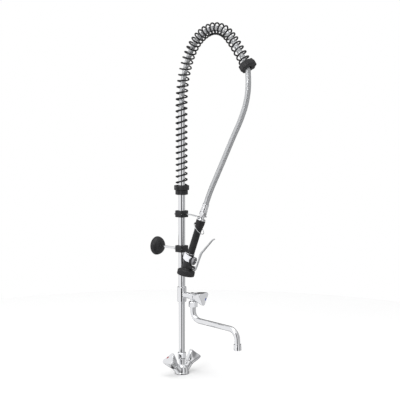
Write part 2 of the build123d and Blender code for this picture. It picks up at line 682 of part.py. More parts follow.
HEAD_FRONT = 47.0
with BuildPart() as spray_housing:
    turned(HEAD, [(6, NECK_LEN), (HEAD_NECK_R, NECK_LEN), (17, 25), (24, 29), (26.5, 32),
                  (26.5, 43), (22, 43), (22, 36), (6, 32)])
save(spray_housing, "spray_housing")

with BuildPart() as bumper:
    turned(HEAD, [(26.5, 30.8), (28, 31.6), (28.6, 33.5), (28.6, 45), (27.6, HEAD_FRONT),
                  (23.5, HEAD_FRONT), (23, 43), (26.5, 43)])
save(bumper, "bumper")

with BuildPart() as spray_plate:
    ring(HEAD, 36, 44.0, 21.9)
    bore(HEAD, 36, 41.5, 19.5)
    with BuildSketch(HEAD.offset(41)) as jets:
        for count, radius in ((8, 7.0), (14, 11.5), (20, 16.0)):
            with PolarLocations(radius, count):
                Circle(0.9)
        Circle(1.7)
    extrude(jets.sketch, amount=4, mode=Mode.SUBTRACT)
save(spray_plate, "spray_plate")

with BuildPart() as spray_screw:
    ring(HEAD, 34, 44, 1.7)
    ring(HEAD, 44, 45.4, 3.4)
save(spray_screw, "spray_screw")

print("lever pivot", PIVOT.origin, "axis", PIVOT.z_dir)
print("valve axis", VALVE.origin, VALVE.z_dir)
print("gun axis", GUN.origin, GUN.z_dir)
print("latch hinge", hinge_spot, GUN.y_dir)
print("arm axes", HOT.origin, HOT.z_dir, COLD.z_dir)
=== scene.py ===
"""Looks of the pre-rinse unit: chromed mixer, riser and spout, coated spring, braided hose, spray gun."""
import json
import math

import bmesh
import bpy
import numpy as np
from mathutils import Matrix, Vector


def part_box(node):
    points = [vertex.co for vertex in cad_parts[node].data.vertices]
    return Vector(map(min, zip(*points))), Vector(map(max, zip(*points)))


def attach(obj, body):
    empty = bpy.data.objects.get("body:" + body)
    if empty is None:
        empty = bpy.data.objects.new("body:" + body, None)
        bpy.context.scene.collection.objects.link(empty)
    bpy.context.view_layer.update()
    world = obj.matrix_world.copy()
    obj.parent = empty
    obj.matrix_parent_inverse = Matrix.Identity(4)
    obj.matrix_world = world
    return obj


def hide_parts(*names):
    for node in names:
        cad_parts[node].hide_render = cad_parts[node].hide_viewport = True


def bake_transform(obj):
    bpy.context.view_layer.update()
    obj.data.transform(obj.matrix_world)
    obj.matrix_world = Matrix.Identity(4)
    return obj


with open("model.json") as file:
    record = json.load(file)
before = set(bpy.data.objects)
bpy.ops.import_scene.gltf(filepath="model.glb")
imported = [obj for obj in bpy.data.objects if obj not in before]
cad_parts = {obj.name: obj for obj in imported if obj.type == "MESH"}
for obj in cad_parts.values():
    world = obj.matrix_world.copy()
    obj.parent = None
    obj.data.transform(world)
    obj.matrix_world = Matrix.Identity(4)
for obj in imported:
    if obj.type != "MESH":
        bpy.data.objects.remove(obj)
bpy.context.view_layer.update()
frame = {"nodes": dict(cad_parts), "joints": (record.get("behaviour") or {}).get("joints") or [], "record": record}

MM = 0.001
TURN = 2 * math.pi
JOINTS = {joint["name"]: joint for joint in frame["joints"]}
CAD = frame["nodes"]


# ---------------------------------------------------------------- places, all from the frame
def unit(vector):
    """The vector at length one; works on a whole array of vectors."""
    vector = np.asarray(vector, float)
    return vector / np.linalg.norm(vector, axis=-1, keepdims=True)


def axes(origin, up, across):
    """Local axes (origin, x, y, z): z along up, and x as near to across as it can be."""
    z = unit(up)
    x = unit(np.asarray(across, float) - z * np.dot(across, z))
    return np.asarray(origin, float), x, np.cross(z, x), z


def placed(place, x, y, z):
    """Local millimetres to metres in the object's frame, as one array of points."""
    origin, ax, ay, az = place
    x, y, z = np.broadcast_arrays(x, y, z)
    return origin + MM * (x[..., None] * ax + y[..., None] * ay + z[..., None] * az)


def turned(place, radius, angle, height):
    """Points at a radius, angle and height about a place's axis."""
    return placed(place, radius * np.cos(angle), radius * np.sin(angle), height)


def middle(node):
    """Centre of a CAD node's box."""
    low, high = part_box(node)
    return (np.array(low) + np.array(high)) / 2


def levels(node, axis=2):
    """Lowest and highest place of a CAD node along one axis, in millimetres."""
    low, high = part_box(node)
    return low[axis] / MM, high[axis] / MM


def joint_axes(name, across):
    """Local axes on a hinge: its point, its direction, and a direction across it."""
    return axes(JOINTS[name]["pos_m"], JOINTS[name]["axis"], across)


UP = (0, 0, 1)
BASE = axes((0, 0, 0), UP, (1, 0, 0))
HOT = joint_axes("hot_turn", (0, 1, 0))
COLD = joint_axes("cold_turn", (0, -1, 0))
TAP = joint_axes("tap_turn", (1, 0, 0))
SPOUT_AXIS = axes((JOINTS["spout_swing"]["pos_m"][0], JOINTS["spout_swing"]["pos_m"][1], 0), UP, (1, 0, 0))
lever_axis = unit(JOINTS["lever_squeeze"]["axis"])
gun_axis = unit(JOINTS["gun_swivel"]["axis"])
GUN = axes(JOINTS["gun_swivel"]["pos_m"], gun_axis, np.cross(lever_axis, gun_axis))
HEAD_AT = 152.0
head_origin = placed(GUN, 0, 0, HEAD_AT)
HEAD = axes(head_origin, middle("bumper") - head_origin, GUN[1])
valve_axis = -unit(JOINTS["valve_push"]["axis"])
VALVE = axes(placed(GUN, 0, 0, 145.0), valve_axis, GUN[3])
PIVOT = joint_axes("lever_squeeze", GUN[1])
wall_z = middle("wall_rod")[2] / MM
TO_WALL = axes((0, 0, wall_z * MM), (0, 1, 0), (-1, 0, 0))
WALL_Y = levels("wall_flange", 1)[1]


# ---------------------------------------------------------------- shader groups
def group(name, inputs, outputs):
    """Empty shader node group with named sockets, and its two end nodes."""
    tree = bpy.data.node_groups.new(name, "ShaderNodeTree")
    for label, kind, value in inputs:
        socket = tree.interface.new_socket(label, in_out="INPUT", socket_type=kind)
        if value is not None:
            socket.default_value = value
    for label, kind in outputs:
        tree.interface.new_socket(label, in_out="OUTPUT", socket_type=kind)
    return tree, tree.nodes.new("NodeGroupInput"), tree.nodes.new("NodeGroupOutput")


def math_node(tree, operation, *values):
    """Math node fed with sockets or plain numbers; returns its result socket."""
    node = tree.nodes.new("ShaderNodeMath")
    node.operation = operation
    for socket, value in zip(node.inputs, values):
        if isinstance(value, bpy.types.NodeSocket):
            tree.links.new(value, socket)
        else:
            socket.default_value = value
    return node.outputs[0]


def noise_node(tree, vector, scale, detail=4.0):
    """Noise texture on a vector socket; returns its value from 0 to 1."""
    node = tree.nodes.new("ShaderNodeTexNoise")
    tree.links.new(vector, node.inputs["Vector"])
    if isinstance(scale, bpy.types.NodeSocket):
        tree.links.new(scale, node.inputs["Scale"])
    else:
        node.inputs["Scale"].default_value = scale
    node.inputs["Detail"].default_value = detail
    return node.outputs["Fac"]


def make_handling():
    """Handling marks: broad smears and fine specks that vary a finish from place to place."""
    scales = [("Smear scale", "NodeSocketFloat", 30.0), ("Speck scale", "NodeSocketFloat", 900.0)]
    marks = [("Smear", "NodeSocketFloat"), ("Speck", "NodeSocketFloat")]
    tree, given, result = group("handling_marks", scales, marks)
    place = tree.nodes.new("ShaderNodeTexCoord").outputs["Object"]
    smear = noise_node(tree, place, given.outputs["Smear scale"], 5.0)
    speck = noise_node(tree, place, given.outputs["Speck scale"], 2.0)
    tree.links.new(smear, result.inputs["Smear"])
    tree.links.new(speck, result.inputs["Speck"])
    return tree


def make_braid():
    """Plain braid of flat wire bundles on a hose: two families cross at 45 degrees, each bundle humped
    across its width and split into wires, over and under its neighbours in turn."""
    counts = [("Bundles", "NodeSocketFloat", 12.0), ("Wires", "NodeSocketFloat", 5.0)]
    tree, given, result = group("wire_braid", [("UV", "NodeSocketVector", None), *counts],
                                [("Height", "NodeSocketFloat"), ("Wire", "NodeSocketFloat")])
    split = tree.nodes.new("ShaderNodeSeparateXYZ")
    tree.links.new(given.outputs["UV"], split.inputs[0])
    along, about = split.outputs[0], split.outputs[1]
    bundles = given.outputs["Bundles"]
    a = math_node(tree, "MULTIPLY", math_node(tree, "ADD", about, along), bundles)
    b = math_node(tree, "MULTIPLY", math_node(tree, "SUBTRACT", about, along), bundles)
    floors = math_node(tree, "ADD", math_node(tree, "FLOOR", a), math_node(tree, "FLOOR", b))
    over = math_node(tree, "PINGPONG", floors, 1.0)
    fa = math_node(tree, "FRACT", a)
    fb = math_node(tree, "FRACT", b)

    def choose(first, second):
        """first where over is 1, second where it is 0."""
        kept = math_node(tree, "MULTIPLY", first, over)
        other = math_node(tree, "MULTIPLY", second, math_node(tree, "SUBTRACT", 1.0, over))
        return math_node(tree, "ADD", kept, other)

    across = choose(fa, fb)
    length = choose(fb, fa)
    hump = math_node(tree, "SINE", math_node(tree, "MULTIPLY", across, math.pi))
    rise = math_node(tree, "SINE", math_node(tree, "MULTIPLY", length, math.pi))
    strands = math_node(tree, "MULTIPLY", across, given.outputs["Wires"])
    wire = math_node(tree, "ABSOLUTE", math_node(tree, "SINE", math_node(tree, "MULTIPLY", strands, math.pi)))
    lift = math_node(tree, "ADD", 0.55, math_node(tree, "MULTIPLY", rise, 0.45))
    bundle = math_node(tree, "MULTIPLY", math_node(tree, "POWER", hump, 0.5), lift)
    grain = math_node(tree, "ADD", 0.8, math_node(tree, "MULTIPLY", wire, 0.2))
    height = math_node(tree, "MULTIPLY", bundle, grain)
    tree.links.new(height, result.inputs["Height"])
    tree.links.new(wire, result.inputs["Wire"])
    return tree


HANDLING = make_handling()
BRAID = make_braid()


# ---------------------------------------------------------------- materials
class Finish:
    """A Principled material with constants on its own sockets and helpers for what varies."""

    def __init__(self, name, **constants):
        self.material = bpy.data.materials.new(name)
        self.material.use_nodes = True
        self.tree = self.material.node_tree
        self.shader = self.tree.nodes["Principled BSDF"]
        for socket, value in constants.items():
            self.shader.inputs[socket.replace("_", " ")].default_value = value

    def marks(self, smear, speck):
        """The handling group with its own scales; returns its node."""
        node = self.tree.nodes.new("ShaderNodeGroup")
        node.node_tree = HANDLING
        node.inputs["Smear scale"].default_value = smear
        node.inputs["Speck scale"].default_value = speck
        return node

    def ramp(self, value, stops, socket):
        """Colours or greys along a value, into one of the shader's sockets."""
        node = self.tree.nodes.new("ShaderNodeValToRGB")
        elements = node.color_ramp.elements
        while len(elements) < len(stops):
            elements.new(0.5)
        for element, (position, colour) in zip(elements, stops):
            element.position = position
            element.color = colour if isinstance(colour, tuple) else (colour, colour, colour, 1.0)
        self.tree.links.new(value, node.inputs["Fac"])
        self.tree.links.new(node.outputs["Color"], self.shader.inputs[socket])

    def bump(self, value, depth):
        """Fine relief from a value, depth in metres."""
        node = self.tree.nodes.new("ShaderNodeBump")
        node.inputs["Distance"].default_value = depth
        node.inputs["Strength"].default_value = 1.0
        self.tree.links.new(value, node.inputs["Height"])
        self.tree.links.new(node.outputs["Normal"], self.shader.inputs["Normal"])


def handled(name, scales, tones, gloss, relief, **constants):
    """Material marked by use: its colour follows the smears, from tones of (value, colour); gloss and
    relief name the mark, smear or speck, that its roughness and its fine bumps follow."""
    finish = Finish(name, **constants)
    marks = finish.marks(*scales)
    finish.ramp(marks.outputs["Smear"], [(at, (*colour, 1)) for at, colour in tones], "Base Color")
    finish.ramp(marks.outputs[gloss[0]], gloss[1], "Roughness")
    finish.bump(marks.outputs[relief[0]], relief[1])
    return finish.material


def polished_chrome(name, low, high, ripple):
    """Bright plate: nearly mirror, with faint smears and the slight ripple of a polished casting."""
    return handled(name, (22.0, 700.0), [(0.3, (0.776, 0.784, 0.80)), (0.7, (0.80, 0.804, 0.816))],
                   ("Smear", [(0.35, low), (0.75, high)]), ("Smear", ripple), Metallic=1.0)


def moulded_black(name="moulded_black", low=0.28, high=0.46, grain=0.00005, tone=0.012, smear=25.0):
    """Black moulded plastic: fine spark grain, a little greyer and duller where hands rub it."""
    tones = [(0.35, (tone, tone, tone * 1.1)), (0.75, (tone * 2.0, tone * 2.0, tone * 2.15))]
    return handled(name, (smear, 1500.0), tones, ("Smear", [(0.3, low), (0.75, high)]), ("Speck", grain),
                   Specular_IOR_Level=0.3)


def index_enamel(name, dark, light):
    """Gloss coloured insert with a slightly uneven fill."""
    return handled(name, (400.0, 2500.0), [(0.35, dark), (0.7, light)], ("Speck", [(0.3, 0.18), (0.7, 0.3)]),
                   ("Speck", 0.00002), Coat_Weight=0.6, Coat_Roughness=0.05)


def braided_steel():
    """Stainless wire braid that follows the hose. Its colour is darkened, as painted shade, in the creases between
    bundles and where a bundle dips under its neighbour.
    """
    finish = Finish("braided_steel", Metallic=1.0)
    uv = finish.tree.nodes.new("ShaderNodeUVMap")
    uv.uv_map = "weave"
    braid = finish.tree.nodes.new("ShaderNodeGroup")
    braid.node_tree = BRAID
    braid.inputs["Bundles"].default_value = BRAID_BUNDLES
    braid.inputs["Wires"].default_value = BRAID_WIRES
    finish.tree.links.new(uv.outputs["UV"], braid.inputs["UV"])
    # painted shade: the colour follows the braid's height, darkest in the creases between bundles and where a
    # bundle passes under
    tones = [(0.05, (0.10, 0.10, 0.11, 1)), (0.35, (0.46, 0.47, 0.48, 1)), (0.9, (0.74, 0.75, 0.76, 1))]
    finish.ramp(braid.outputs["Height"], tones, "Base Color")
    finish.ramp(braid.outputs["Wire"], [(0.1, 0.42), (0.8, 0.24)], "Roughness")
    finish.bump(braid.outputs["Height"], 0.00025)
    return finish.material


BRAID_BUNDLES = 12
BRAID_WIRES = 5

CHROME = polished_chrome("polished_chrome", 0.02, 0.08, 0.00003)
CAST_CHROME = polished_chrome("cast_chrome", 0.04, 0.13, 0.00012)
# stainless wire and strip with a fine speckled grain
STEEL = handled("drawn_steel", (60.0, 1800.0), [(0.3, (0.55, 0.56, 0.57)), (0.7, (0.70, 0.71, 0.72))],
                ("Speck", [(0.3, 0.16), (0.7, 0.30)]), ("Speck", 0.00002), Metallic=1.0)
# dull grey turned metal of the valve cap
CAP_GREY = handled("turned_grey", (90.0, 1600.0), [(0.3, (0.20, 0.20, 0.21)), (0.7, (0.34, 0.34, 0.35))],
                   ("Speck", [(0.3, 0.24), (0.7, 0.38)]), ("Speck", 0.00002), Metallic=1.0)
# plain brass with dulled patches
BRASS = handled("machined_brass", (80.0, 1200.0), [(0.3, (0.62, 0.44, 0.20)), (0.7, (0.78, 0.60, 0.32))],
                ("Smear", [(0.3, 0.22), (0.7, 0.38)]), ("Speck", 0.00002), Metallic=1.0)
BLACK = moulded_black()
GRIP_BLACK = moulded_black("grip_black", 0.40, 0.60, 0.00008, 0.010, 40.0)
SPRING_BLACK = moulded_black("spring_coating", 0.22, 0.36, 0.00003, 0.008, 60.0)
RUBBER = moulded_black("soft_rubber", 0.55, 0.75, 0.00008, 0.014, 50.0)
# plain white band with faint grey rubbing
WHITE = handled("white_band", (90.0, 1400.0), [(0.35, (0.84, 0.85, 0.88)), (0.8, (0.70, 0.71, 0.75))],
                ("Smear", [(0.3, 0.25), (0.8, 0.45)]), ("Speck", 0.00002))
# off-white nylon, slightly waxy
NYLON = handled("plain_nylon", (120.0, 1500.0), [(0.3, (0.74, 0.73, 0.69)), (0.7, (0.82, 0.81, 0.77))],
                ("Speck", [(0.3, 0.4), (0.7, 0.55)]), ("Speck", 0.00003), Subsurface_Weight=0.0)
RED = index_enamel("red_enamel", (0.28, 0.012, 0.015), (0.42, 0.02, 0.02))
BLUE = index_enamel("blue_enamel", (0.01, 0.035, 0.22), (0.02, 0.07, 0.36))
BRAIDED = braided_steel()

SLOT_FINISH = {"chrome": CHROME, "brass": BRASS, "steel": STEEL, "braid": BRAIDED, "black_plastic": BLACK,
               "black_rubber": RUBBER, "spring_coat": SPRING_BLACK, "white_label": WHITE,
               "white_nylon": NYLON,
               "red_mark": RED, "blue_mark": BLUE}
NODE_SLOT = {entry["node"]: entry["material_slot"] for entry in frame["record"]["subparts"]}
NODE_BODY = {node: body for body, nodes in frame["record"]["behaviour"]["bodies"].items() for node in nodes}
for node_name, node_object in CAD.items():
    node_object.data.materials.clear()
    node_object.data.materials.append(SLOT_FINISH[NODE_SLOT[node_name]])
for plated in ("hot_headwork", "cold_headwork", "tap_headwork"):
    CAD[plated].data.materials[0] = CHROME


# ---------------------------------------------------------------- surfaces
def dress(mesh, name, nodes, material=None, sharp=35.0):
    """Turn a mesh into a visible piece that stands for the named CAD nodes and rides on their body."""
    piece = bpy.data.objects.new(name, mesh)
    bpy.context.scene.collection.objects.link(piece)
    mesh.shade_smooth()
    mesh.set_sharp_from_angle(angle=math.radians(sharp))
    mesh.materials.clear()
    mesh.materials.append(material or SLOT_FINISH[NODE_SLOT[nodes[0]]])
    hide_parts(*nodes)
    return piece


def cleaned(mesh):
    """Merge doubled points, drop empty faces and turn every face outwards."""
    work = bmesh.new()
    work.from_mesh(mesh)
    bmesh.ops.remove_doubles(work, verts=work.verts, dist=2e-7)
    bmesh.ops.recalc_face_normals(work, faces=work.faces)
    work.to_mesh(mesh)
    work.free()
    return mesh


def skin(name, points, loop=False, weave=None):
    """Mesh over a grid of points, rows along the piece and columns around it. Quads join each point to
    the next along and around. Open ends are closed by drawing the end ring in to its centre; a loop
    joins its last row to its first. weave holds the UV's length for each row."""
    if not loop:
        first = np.broadcast_to(points[:1].mean(1, keepdims=True), points[:1].shape)
        last = np.broadcast_to(points[-1:].mean(1, keepdims=True), points[-1:].shape)
        points = np.concatenate([first, points, last])
        weave = None if weave is None else np.concatenate([weave[:1], weave, weave[-1:]])
    rows, columns = points.shape[:2]
    index = np.arange(rows * columns).reshape(rows, columns)
    beside = np.roll(index, -1, axis=1)
    if loop:
        quads = np.stack([index, beside, np.roll(beside, -1, axis=0), np.roll(index, -1, axis=0)], -1)
    else:
        quads = np.stack([index[:-1], beside[:-1], beside[1:], index[1:]], -1)
    mesh = bpy.data.meshes.new(name)
    mesh.from_pydata(points.reshape(-1, 3).tolist(), [], quads.reshape(-1, 4).tolist())
    if weave is not None:
        about = np.arange(columns) / columns
        step = 1 / columns
        u = np.stack([weave[:-1], weave[:-1], weave[1:], weave[1:]], -1)[:, None, :]
        v = np.stack([about, about + step, about + step, about], -1)[None]
        u, v = np.broadcast_arrays(u, v)
        layer = mesh.uv_layers.new(name="weave")
        layer.data.foreach_set("uv", np.stack([u, v], -1).astype(np.float32).ravel())
    return cleaned(mesh)


def rounded(outline, edge, closed=False, steps=4):
    """Outline of (radius, height) points with each corner eased by a short parabola, edge long each way."""
    outline = [np.asarray(point, float) for point in outline]
    count = len(outline)
    result = [] if closed else [outline[0]]
    for k in range(count) if closed else range(1, count - 1):
        here = outline[k]
        before, after = outline[k - 1] - here, outline[(k + 1) % count] - here
        cut = min(edge, 0.45 * np.linalg.norm(before), 0.45 * np.linalg.norm(after))
        start, end = here + unit(before) * cut, here + unit(after) * cut
        t = np.linspace(0, 1, steps)[:, None]
        result.extend((1 - t) ** 2 * start + 2 * t * (1 - t) * here + t ** 2 * end)
    if not closed:
        result.append(outline[-1])
    return np.array(result)


def angles(count):
    """Even angles about an axis."""
    return np.linspace(0, TURN, count, endpoint=False)


def lathe(name, place, outline, nodes, edge=0.6, closed=False, around=72, ripple=None, material=None):
    """Turned piece: the eased (radius, height) outline carried round the axis. ripple(angle, radius)
    adds to the radius, for flutes and knurls."""
    profile = rounded(outline, edge, closed)
    radius, height = profile[:, :1], profile[:, 1:]
    angle = angles(around)[None]
    if ripple:
        radius = radius + ripple(angle, radius)
    piece = dress(skin(name, turned(place, radius, angle, height), loop=closed), name, nodes, material)
    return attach(piece, NODE_BODY[nodes[0]])


def block_mesh(name, place, outline, low, high, edge, around=128, hole=0.0, cup=None, steps=5):
    """Block of one outline, radius as a function of angle, between two heights, as a mesh. Its rims are
    eased by a quarter circle. A hole is round; cup, a radius and a floor, widens it up to the top."""
    quarter = np.linspace(0, math.pi / 2, steps)
    angle = angles(around)[None]
    side = outline(angle)
    inset = edge * (1 - np.sin(quarter))[:, None]
    rise = edge * (1 - np.cos(quarter))[:, None]
    radius = [side - inset, (side - inset)[::-1]]
    height = [low + rise + 0 * side, (high - rise + 0 * side)[::-1]]
    if hole:
        bore = [(cup[0], high), (cup[0], cup[1]), (hole, cup[1])] if cup else [(hole, high)]
        radius = [np.full((1, around), hole), *radius, *(np.full((1, around), r) for r, _ in bore)]
        height = [np.full((1, around), low), *height, *(np.full((1, around), h) for _, h in bore)]
    points = turned(place, np.concatenate(radius), angle, np.concatenate(height))
    return skin(name, points, loop=bool(hole))


def prism(name, place, outline, low, high, edge, nodes, hole=0.0, around=96):
    """Block of one outline as a visible piece."""
    mesh = block_mesh(name, place, outline, low, high, edge, around, hole)
    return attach(dress(mesh, name, nodes), NODE_BODY[nodes[0]])


def hexagon(across_corners):
    """Outline of a hexagon: its flat's distance divided by the cosine of the angle from the flat."""
    def outline(angle):
        third = math.pi / 3
        return across_corners * math.cos(math.pi / 6) / np.cos(angle % third - third / 2)
    return outline


def tube_points(path, side, radius, around):
    """Rings of points along a path: side, made square to the path, and its cross product carry the ring."""
    along = unit(np.gradient(path, axis=0))
    side = np.broadcast_to(side, path.shape)
    normal = unit(side - along * np.sum(side * along, axis=1, keepdims=True))
    binormal = np.cross(along, normal)
    angle = angles(around)
    ring = normal[:, None] * np.cos(angle)[None, :, None] + binormal[:, None] * np.sin(angle)[None, :, None]
    shape = (-1, 1, 1) if np.ndim(radius) < 2 else (*np.shape(radius), 1)
    return path[:, None] + np.reshape(radius, shape) * ring


def run_length(path):
    """Length along a path at each of its points."""
    return np.concatenate([[0], np.cumsum(np.linalg.norm(np.diff(path, axis=0), axis=1))])


def evened(path, step):
    """The same path with its points a step apart."""
    length = run_length(path)
    count = max(2, int(round(length[-1] / step)) + 1)
    stations = np.linspace(0, length[-1], count)
    return np.stack([np.interp(stations, length, path[:, k]) for k in range(3)], -1)


def bent(corners, radii, step=0.002):
    """Bar path: straight runs joined by circular arcs that touch both runs."""
    corners = [np.asarray(corner, float) for corner in corners]
    points = [corners[0]]
    for before, here, after, radius in zip(corners, corners[1:], corners[2:], radii):
        arriving, leaving = unit(here - before), unit(after - here)
        half = math.acos(np.clip(arriving @ leaving, -1, 1)) / 2
        reach = radius * math.tan(half)
        start = here - arriving * reach
        inward = unit(leaving - arriving)
        centre = here + inward * radius / math.cos(half)
        sweep = np.linspace(0, 2 * half, max(6, int(2 * half * radius / step)))[:, None]
        points.extend(centre + radius * (np.cos(sweep) * unit(start - centre) + np.sin(sweep) * arriving))
    points.append(corners[-1])
    return np.array(points)


def smooth_route(points):
    """Points read from one open NURBS spline of order 3 through the route's control points."""
    curve = bpy.data.curves.new("route", "CURVE")
    curve.dimensions = "3D"
    spline = curve.splines.new("NURBS")
    spline.points.add(len(points) - 1)
    spline.points.foreach_set("co", np.array([(*p, 1.0) for p in points], np.float32).ravel())
    spline.order_u = 3
    spline.use_endpoint_u = True
    spline.resolution_u = 40
    holder = bpy.data.objects.new("route", curve)
    bpy.context.scene.collection.objects.link(holder)
    bpy.context.view_layer.update()
    line = bpy.data.meshes.new_from_object(holder.evaluated_get(bpy.context.evaluated_depsgraph_get()))
    path = np.zeros(len(line.vertices) * 3)
    line.vertices.foreach_get("co", path)
    bpy.data.objects.remove(holder)
    bpy.data.meshes.remove(line)
    return path.reshape(-1, 3)


def cast(name, node, voxel, passes, material=None):
    """Casting look: the node's own solid, merged, re-meshed in small cells and eased all over, so that
    its joins turn into fillets."""
    mesh = cleaned(CAD[node].data.copy())
    holder = bpy.data.objects.new("holder", mesh)
    bpy.context.scene.collection.objects.link(holder)
    cells = holder.modifiers.new("cells", "REMESH")
    cells.mode = "VOXEL"
    cells.voxel_size = voxel
    ease = holder.modifiers.new("ease", "SMOOTH")
    ease.factor = 0.5
    ease.iterations = passes
    bpy.context.view_layer.update()
    solid = bpy.data.meshes.new_from_object(holder.evaluated_get(bpy.context.evaluated_depsgraph_get()))
    bpy.data.objects.remove(holder)
    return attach(dress(solid, name, [node], material, sharp=60.0), NODE_BODY[node])


def softened(name, node, width, segments=2):
    """The node's own solid with its sharp edges bevelled by a small width."""
    mesh = cleaned(CAD[node].data.copy())
    work = bmesh.new()
    work.from_mesh(mesh)
    bmesh.ops.dissolve_limit(work, angle_limit=math.radians(1.0), verts=work.verts, edges=work.edges)
    work.to_mesh(mesh)
    work.free()
    piece = dress(mesh, name, [node], sharp=180.0)
    bevel = piece.modifiers.new("eased edges", "BEVEL")
    bevel.width = width
    bevel.segments = segments
    bevel.limit_method = "ANGLE"
    bevel.angle_limit = math.radians(40)
    bevel.harden_normals = True
    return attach(piece, NODE_BODY[node])


# ---------------------------------------------------------------- camera
SIGHT_DOWN = math.radians(5.26)
LEVEL_SIGHT = np.array([0.7312, 0.6822, 0.0])
sight = LEVEL_SIGHT * math.cos(SIGHT_DOWN) - np.array([0, 0, math.sin(SIGHT_DOWN)])
camera_data = bpy.data.cameras.new("camera")
camera_data.sensor_width = 36.0
camera_data.lens = 97.83
camera_data.clip_end = 50.0
camera = bpy.data.objects.new("camera", camera_data)
bpy.context.scene.collection.objects.link(camera)
across_sight = unit(np.cross(sight, UP))
above_sight = np.cross(across_sight, sight)
turned_to = np.eye(4)
turned_to[:3, 0], turned_to[:3, 1], turned_to[:3, 2] = across_sight, above_sight, -sight
turned_to[:3, 3] = (-2.5468, -2.4581, 0.903)
camera.matrix_world = Matrix(turned_to.tolist())
bpy.context.scene.camera = camera

# ---------------------------------------------------------------- hoses
HOSE_R = 8.6
FREE_HOSE = [(0, -0.2828, 0.9875), (0, -0.2862, 0.9497), (0, -0.2775, 0.895), (0, -0.254, 0.840),
             (0.002, -0.2225, 0.790), (0.0055, -0.187, 0.730), (0.009, -0.152, 0.672),
             (0.0106, -0.122, 0.621), (0.0091, -0.1085, 0.590), (0.0063, -0.1031, 0.5709)]
ARCH_HOSE = [(0, 0, 0.877), (0, 0, 0.945), (0, -0.0305, 1.0444), (0, -0.0714, 1.0988), (0, -0.1226, 1.126),
             (0, -0.1665, 1.126), (0, -0.2087, 1.1036), (0, -0.281, 1.0075), (0, -0.2828, 0.9875)]
RELIEF = 0.28


def wave(value):
    """Half sine hump across each unit of a value."""
    return np.sin(math.pi * (value % 1.0))


def braid_height(along, about):
    """Height of a plain braid from 0 to 1: two families of bundles cross at 45 degrees, each a half
    sine across its width that rises and dips along its length as it goes over and under in turn."""
    a, b = (about + along) * BRAID_BUNDLES, (about - along) * BRAID_BUNDLES
    over = (np.floor(a) + np.floor(b)) % 2
    across, length = np.where(over, a, b), np.where(over, b, a)
    return np.sqrt(wave(across)) * (0.55 + 0.45 * wave(length))


def braided_hose(name, node, route):
    """Hose skin along a route: a round tube whose radius swells with the braid's height."""
    path = evened(smooth_route(route), 0.0009)
    around = 84
    lays = run_length(path) / (TURN * HOSE_R * MM)
    about = np.arange(around) / around
    radius = MM * (HOSE_R - RELIEF * (1 - braid_height(lays[:, None], about[None])))
    points = tube_points(path, np.array([1.0, 0, 0]), radius, around)
    piece = dress(skin(name, points, weave=lays), name, [node], sharp=180.0)
    return piece, path


hose, hose_path = braided_hose("free_hose_braid", "free_hose", FREE_HOSE)
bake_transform(hose)
inner_hose, arch_path = braided_hose("sprung_hose_braid", "sprung_hose", ARCH_HOSE)
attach(inner_hose, "stand")

# ---------------------------------------------------------------- spring
SPRING_WIRE_R = 2.5
SPRING_COIL_R = 17.4
SPRING_LOW = 0.612
PITCH_AT = ([398, 472, 668, 700], [19.3, 16.3, 16.3, 18.4])   # length along the coil, pitch there
COIL_START = math.radians(51)
STEPS_A_TURN = 44


def spring_coil():
    """Helix carried along the riser's axis and the arch. Its angle grows with length over the pitch,
    wide on the straight and closer over the crown, and its ring lies square to the line it follows."""
    riser = np.array([[0, 0, SPRING_LOW], [0, 0, ARCH_HOSE[0][2]]])
    line = evened(np.concatenate([evened(riser, 0.001)[:-1], arch_path]), 0.001)
    length = run_length(line) / MM
    stop = length[-1] - 22.0
    turns = np.cumsum(np.gradient(length) / np.interp(length, *PITCH_AT))
    last_turn = np.interp(stop, length, turns)
    station = np.arange(0, last_turn, 1 / STEPS_A_TURN)
    spot = np.interp(station, turns, length)
    centre = np.stack([np.interp(spot, length, line[:, k]) for k in range(3)], -1)
    along = unit(np.gradient(centre, axis=0))
    side = np.array([1.0, 0, 0])
    other = np.cross(along, side)
    angle = (COIL_START + TURN * station)[:, None]
    wire = centre + SPRING_COIL_R * MM * (np.cos(angle) * side + np.sin(angle) * other)
    points = tube_points(wire, along, SPRING_WIRE_R * MM, 14)
    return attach(dress(skin("spring_coil", points), "spring_coil", ["spring"], sharp=60.0), "stand")


spring_coil()


# ---------------------------------------------------------------- riser and its nuts
def pipe(name, place, low, high, outer, inner, nodes):
    """Round pipe with a small wall and eased ends."""
    outline = [(inner, low), (outer, low), (outer, high), (inner, high)]
    return lathe(name, place, outline, nodes, edge=0.35, closed=True, around=96)


low, high = levels("lower_riser")
pipe("lower_riser_pipe", BASE, low, high, 10.0, 8.75, ["lower_riser"])
low, high = levels("upper_riser")
pipe("upper_riser_pipe", BASE, low, high, 11.0, 9.75, ["upper_riser"])
low, high = levels("riser_nut")
prism("riser_union_nut", BASE, hexagon(14.6), low, high, 1.3, ["riser_nut"], hole=10.02)
low, high = levels("spout_nut")
prism("spout_union_nut", SPOUT_AXIS, hexagon(15.0), low, high, 1.3, ["spout_nut"], hole=9.1)
cast("mixer_casting", "mixer_body", 0.0009, 8, CAST_CHROME)
cast("tee_casting", "tee_body", 0.0008, 7, CAST_CHROME)

# ---------------------------------------------------------------- three-lobed handles
LOBE_IN = 16.25
LOBE_CENTRE = 19.5
LOBE_ROUND = 6.5
HANDLE_LEN = 37.0
FLANK_DISH = 1.3
FLARE = ([0, 6, 34, 37], [13.0, 14.0, 26.0, 25.6])
SOCKET_R = 11.0


